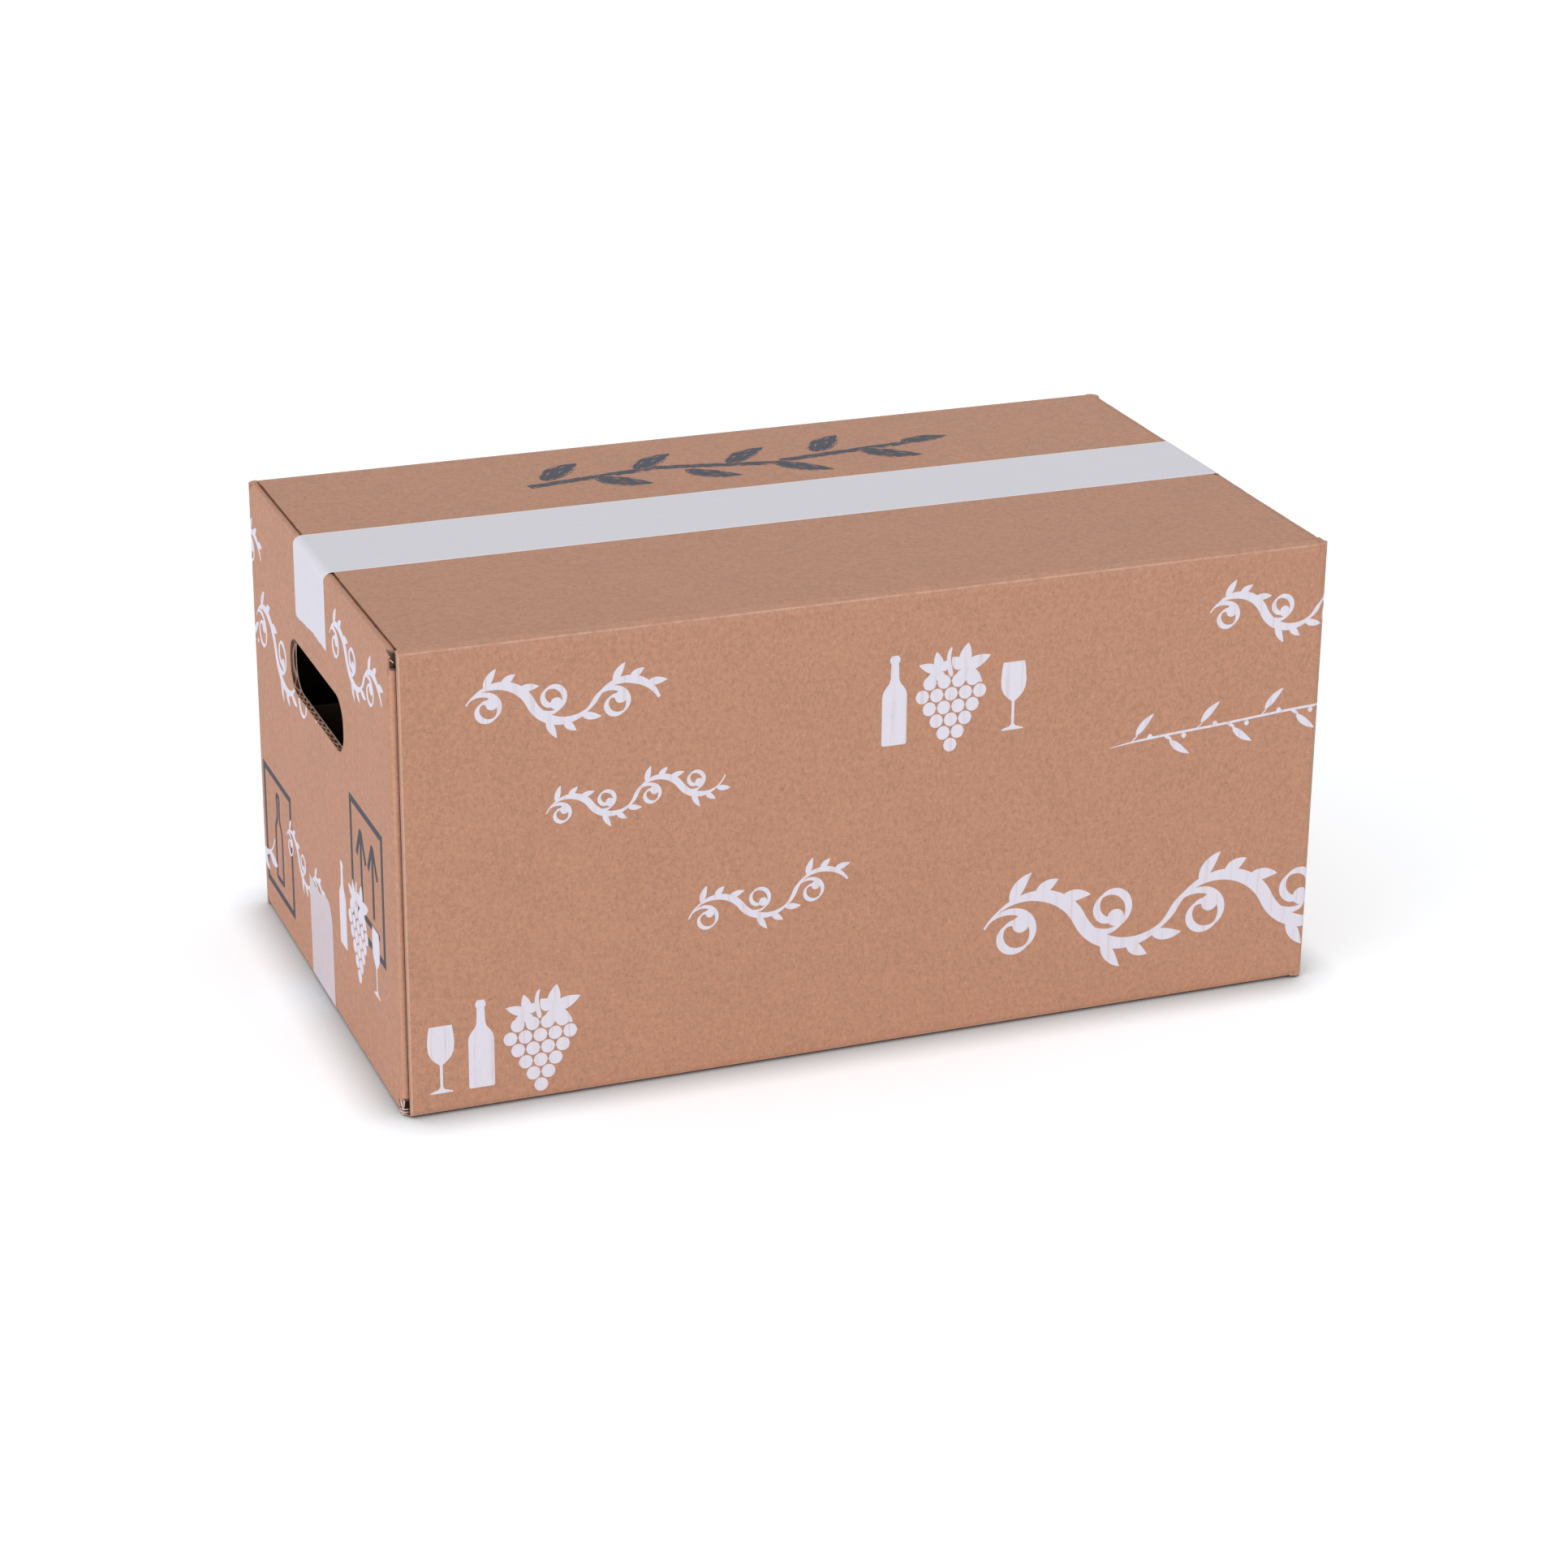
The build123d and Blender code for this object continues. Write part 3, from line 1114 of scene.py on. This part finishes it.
# Tape: a strip over the seam and down both ends, with a torn edge at each end
topTapeLook = {
    "film": screen(211, 208, 214),
    # rim: a painted highlight along both edges of the strip
    "rim": screen(232, 229, 232),
    "roughness": 0.42,
    "streaks": 0.08,
    "clear": 0.0,
    "middle": 9.0,
    "width": 50.0,
    "reach": 34.0,  # down each end panel
    "tears": (  # for each end: share of the width, and how far the edge is torn back
        ((-1, 0.4), (-0.2, 1.0), (0.86, -1.0), (0.94, -1.4), (1, 0.2)),
        ((-1, 0.8), (0.3, -0.5), (1, 0.6)),
    ),
    "seed": 3,
}
bottomTapeLook = {
    "film": screen(201, 190, 194),
    # rim: a painted highlight along both edges of the strip
    "rim": screen(207, 198, 202),
    "roughness": 0.34,
    "streaks": 0.5,
    "clear": 0.2,
    "middle": 10.0,
    "width": 38.0,
    "reach": 48.0,  # up each end panel
    "tears": (
        ((-1, 7.6), (-0.93, 3.6), (-0.8, -1.4), (-0.5, -2.2), (0.0, 0.8), (0.5, 0.6), (1, -2.0)),
        ((-1, 0.5), (-0.3, 1.4), (0.5, -0.6), (1, 0.9)),
    ),
    "seed": 4,
}
tapeForm = {
    "thickness": 0.15,
    "bend": 3.6,  # inside radius over the box's ends
    "air": 0.03,  # between the strip and the end panels
    "columns": 24,
    "jag": 0.35,
    "tearRows": 5,  # over which a tear fades
}


def makeTapeFinish(name, look):
    finish = Finish(name)
    place = finish.place()
    across = finish.attribute("across")
    streak = place.noise((0.03, 1.4, 0.03), 4.0, 0.65)
    patch = place.noise((0.08, 0.2, 0.2), 3.0, 0.6)
    tone = 1 + (streak - 0.5) * look["streaks"] + (patch - 0.5) * 0.05
    colour = finish.tint(look["film"], tone)
    # Painted highlight: a paler line along both edges of the strip
    colour = finish.blend(abs(across).ramp(0.955, 0.99) * 0.7, colour, look["rim"])
    clear = (streak * 0.5 + patch * 0.5).ramp(0.44, 0.66) * look["clear"]
    colour = finish.blend(clear, colour, boardColour(finish))
    return finish.surface(colour, look["roughness"], streak * 0.02 + patch * 0.1)


# Points (x, z) over one seam and down both ends
def tapePath(reach, upper):
    bend = tapeForm["bend"]
    x = endX + tapeForm["air"]
    level = topZ if upper else floorZ
    side = -1 if upper else 1
    trail = []
    drop = reach - bend
    rows = round(drop / 2)
    for step in range(rows + 1):
        trail.append((-x, level + side * (reach - drop * step / rows)))
    for step in range(1, 10):
        angle = math.pi / 2 * step / 10
        rise = side * bend * (1 - math.sin(angle))
        trail.append((-x + bend * (1 - math.cos(angle)), level + rise))
    flat = round(2 * (x - bend) / 6)
    for step in range((flat + 1) // 2):
        trail.append((-x + bend + 2 * (x - bend) * step / flat, level))
    return trail + [(0.0, level)] + [(-px, pz) for px, pz in reversed(trail)]


def tornBy(points, share):  # between the points on both sides of the share
    for (low, first), (high, second) in zip(points, points[1:]):
        if low <= share <= high:
            return first + (second - first) * (share - low) / (high - low)


def makeTape(name, node, look, upper):
    chance = random.Random(look["seed"])
    count = tapeForm["columns"]
    shares = [column / count * 2 - 1 for column in range(count + 1)]
    jag = tapeForm["jag"]
    pulls = []
    for points in look["tears"]:
        pulls.append([tornBy(points, share) + chance.uniform(-jag, jag) for share in shares])
    trail = tapePath(look["reach"], upper)
    last = len(trail) - 1
    body = bmesh.new()
    sheets = []
    for lift in (0.0, tapeForm["thickness"]):
        rows = []
        for row, (x, z) in enumerate(trail):
            way = Vector(trail[min(row + 1, last)]) - Vector(trail[max(row - 1, 0)])
            way.normalize()
            out = Vector((-way.y, way.x)) if upper else Vector((way.y, -way.x))
            fades = [max(0.0, 1 - past / tapeForm["tearRows"]) for past in (row, last - row)]
            cells = []
            for column, share in enumerate(shares):
                slide = pulls[0][column] * fades[0] - pulls[1][column] * fades[1]
                px = x + out.x * lift + way.x * slide
                pz = z + out.y * lift + way.y * slide
                py = look["middle"] + share * look["width"] / 2
                cells.append(body.verts.new((px * mm, py * mm, pz * mm)))
            rows.append(cells)
        sheets.append(rows)
    lines = [pair for rows in sheets for pair in zip(rows, rows[1:])]
    lines += [[rows[row] for rows in sheets] for row in (0, last)]
    for column in (0, count):
        lines.append([[cells[column] for cells in rows] for rows in sheets])
    for near, far in lines:  # a band of faces between each two
        for corners in zip(near, near[1:], far[1:], far):
            body.faces.new(corners)
    bmesh.ops.recalc_face_normals(body, faces=body.faces)
    layer = body.verts.layers.float.new("across")
    for vertex in body.verts:
        vertex[layer] = (vertex.co.y / mm - look["middle"]) / (look["width"] / 2)
    material = makeTapeFinish(name + "Film", look)
    piece = makePiece(name, toMesh(body, name), material)
    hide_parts(node)


makeTape("topTape", "top_tape", topTapeLook, True)
makeTape("bottomTape", "bottom_tape", bottomTapeLook, False)
print("tapes laid")


# Floor and light
stageLook = {
    "floor": (0.95, 0.95, 0.95, 1.0),
    "seenFloor": (0.925, 0.95, 0.962, 1.0),  # as the camera sees it
    "floorLift": 0.3,
    "floorReach": 25,  # in metres
    "floorLevel": -0.05,
    # reach of the painted contact shadow on the floor, in millimetres
    "contactShadowReach": 22,
    "skyLevel": 0.75,
    "sky": (0.96, 0.98, 1.0, 1.0),
    "lamps": {  # turn, power, spread and colour of each
        "keyLight": ((82, 0, 8), 1.06, 60, (1.0, 1.0, 1.0)),
        "fillLight": ((88, 0, -75), 1.95, 60, (0.97, 0.98, 1.13)),
    },
}


def makeFloor(look):
    finish = Finish("paleFloor")
    plainFloor = finish.node("ShaderNodeBsdfDiffuse", {"Color": look["floor"]})
    # Ambient occlusion darkens the floor's colour and glow near the part: a painted contact shadow
    sockets = {"Distance": look["contactShadowReach"] * mm}
    near = finish.node("ShaderNodeAmbientOcclusion", sockets, {"samples": 4}, output="AO")
    shade = finish.tint(look["seenFloor"], near)
    seenFloor = finish.node("ShaderNodeBsdfDiffuse", {"Color": shade})
    sockets = {"Color": (1, 1, 1, 1), "Strength": near * look["floorLift"]}
    glow = finish.node("ShaderNodeEmission", sockets)
    seenFloor = finish.node("ShaderNodeAddShader", {0: seenFloor, 1: glow})
    seen = finish.node("ShaderNodeLightPath", output="Is Camera Ray")
    both = finish.node("ShaderNodeMixShader", {0: seen, 1: plainFloor, 2: seenFloor})
    finish.node("ShaderNodeOutputMaterial", {"Surface": both})
    mesh = bpy.data.meshes.new("floor")
    reach, level = look["floorReach"], look["floorLevel"] * mm
    turns = ((-1, -1), (1, -1), (1, 1), (-1, 1))
    mesh.from_pydata([(reach * x, reach * y, level) for x, y in turns], [], [(0, 1, 2, 3)])
    mesh.materials.append(finish.owner)
    addObject("floor", mesh)


def makeRoom(look):
    room = Finish("paleRoom", "worlds")
    scene.world = room.owner
    direct = 0.0
    for ray in ("Is Camera Ray", "Is Glossy Ray", "Is Transmission Ray"):
        direct = room.maths("MAXIMUM", direct, room.node("ShaderNodeLightPath", output=ray))
    strength = look["skyLevel"] + direct * (1 - look["skyLevel"])
    colour = room.blend(direct, look["sky"], (1, 1, 1, 1))
    sky = room.node("ShaderNodeBackground", {"Color": colour, "Strength": strength})
    room.node("ShaderNodeOutputWorld", {"Surface": sky})
    for name, (turn, power, spread, tint) in look["lamps"].items():
        data = bpy.data.lights.new(name, "SUN")
        data.angle = math.radians(spread)
        data.energy = power
        data.color = tint
        addObject(name, data).rotation_euler = [math.radians(angle) for angle in turn]
    scene.view_settings.view_transform = "Standard"


makeFloor(stageLook)
makeRoom(stageLook)
print("stage set")
